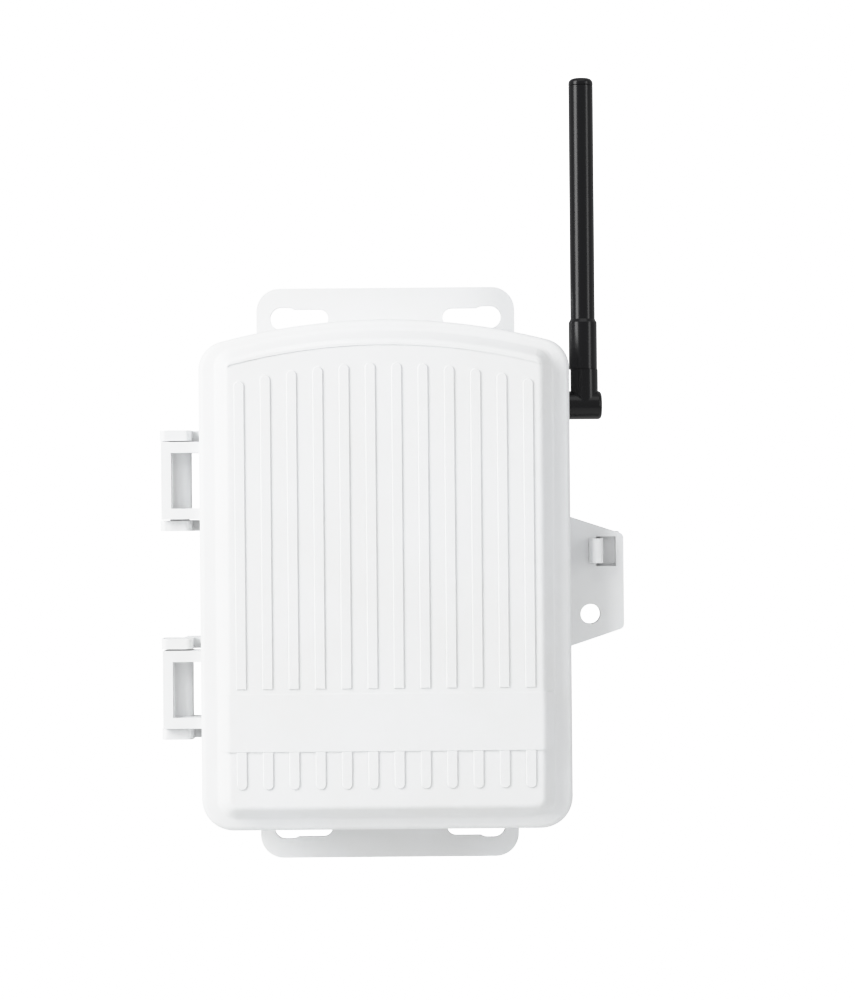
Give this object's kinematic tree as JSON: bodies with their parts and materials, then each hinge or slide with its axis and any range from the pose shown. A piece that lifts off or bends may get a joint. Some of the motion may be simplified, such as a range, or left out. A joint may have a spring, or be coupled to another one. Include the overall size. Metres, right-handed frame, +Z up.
{
  "type": "outdoor wireless bridge",
  "caption": "Wall-mounted outdoor wireless bridge: weather shelter with a hinged ribbed door, snap latch with padlock tab, keyhole mounting plate and a swivelling whip antenna.",
  "frame": {"origin": "centre of the mounting plate on the wall face, midway between the four keyholes", "axes": "+Y into the wall, so the door faces -Y; +Z up; +X towards the antenna and latch side"},
  "size_m": [0.2412, 0.0817, 0.4157],
  "materials": {
    "shelter_white": "satin moulded UV-stable plastic",
    "gasket_rubber": "matt",
    "steel": "machined",
    "nickel_plate": "nickel plated",
    "antenna_black": "satin black elastomer",
    "bare_brass": "bare",
    "board_green": "solder mask",
    "tin_plate": "tin plated",
    "chip_black": "moulded epoxy",
    "capacitor_sleeve": "shrink sleeve",
    "terminal_green": "moulded",
    "led_lens": "diffused lens",
    "holder_black": "moulded",
    "cell_sleeve": "printed sleeve, blank",
    "vent_grey": "moulded",
    "coax_jacket": "smooth jacket",
    "wire_red": "smooth jacket",
    "wire_black": "smooth jacket",
    "plug_white": "moulded nylon"
  },
  "bodies": {
    "base": {"base_housing": "shelter_white", "hinge_pin_upper": "shelter_white", "hinge_pin_lower": "shelter_white", "rim_gasket": "gasket_rubber", "latch_pin": "steel", "bulkhead_connector": "nickel_plate", "sealing_washer": "gasket_rubber", "connector_nut": "nickel_plate", "coupling_nut": "nickel_plate", "main_board": "board_green", "board_screws": "steel", "shield_can": "tin_plate", "processor_chip": "chip_black", "memory_chips": "chip_black", "capacitors": "capacitor_sleeve", "power_jack": "chip_black", "jack_pin": "nickel_plate", "terminal_block": "terminal_green", "terminal_screws": "steel", "status_led": "led_lens", "button_switch": "tin_plate", "power_switch": "tin_plate", "battery_holder": "holder_black", "holder_screws": "steel", "battery_cells": "cell_sleeve", "battery_plates": "nickel_plate", "battery_springs": "nickel_plate", "cable_grommet": "gasket_rubber", "vent_plug": "vent_grey", "coax_lead": "coax_jacket", "coax_plug": "bare_brass", "battery_lead_red": "wire_red", "battery_lead_black": "wire_black", "battery_plug": "plug_white"},
    "door": {"door": "shelter_white"},
    "latch": {"latch_hook": "shelter_white"},
    "antenna": {"antenna_swivel": "antenna_black", "antenna_sleeve": "antenna_black", "antenna_whip": "antenna_black", "antenna_cap": "antenna_black", "antenna_element": "bare_brass"},
    "button": {"test_button": "chip_black"},
    "slider": {"switch_slider": "chip_black"}
  },
  "joints": [
    {"name": "door_hinge", "type": "hinge", "parent": "base", "child": "door", "pos_m": [-0.1075, -0.05, 0], "axis": [0, 0, -1], "range_deg": [0, 110]},
    {"name": "latch_release", "type": "hinge", "parent": "base", "child": "latch", "pos_m": [0.1117, -0.03, 0.01185], "axis": [0, 0, 1], "range_deg": [0, 12], "stiffness_Nm_per_rad": 0.4},
    {"name": "antenna_turn", "type": "hinge", "parent": "base", "child": "antenna", "pos_m": [0.105, -0.033, 0.0885], "axis": [1, 0, 0], "range_deg": [-90, 75]},
    {"name": "button_press", "type": "slide", "parent": "base", "child": "button", "axis": [0, 1, 0], "range_m": [0, 0.0005], "stiffness_N_per_m": 3000},
    {"name": "power_slide", "type": "slide", "parent": "base", "child": "slider", "axis": [1, 0, 0], "range_m": [0, 0.0032]}
  ]
}
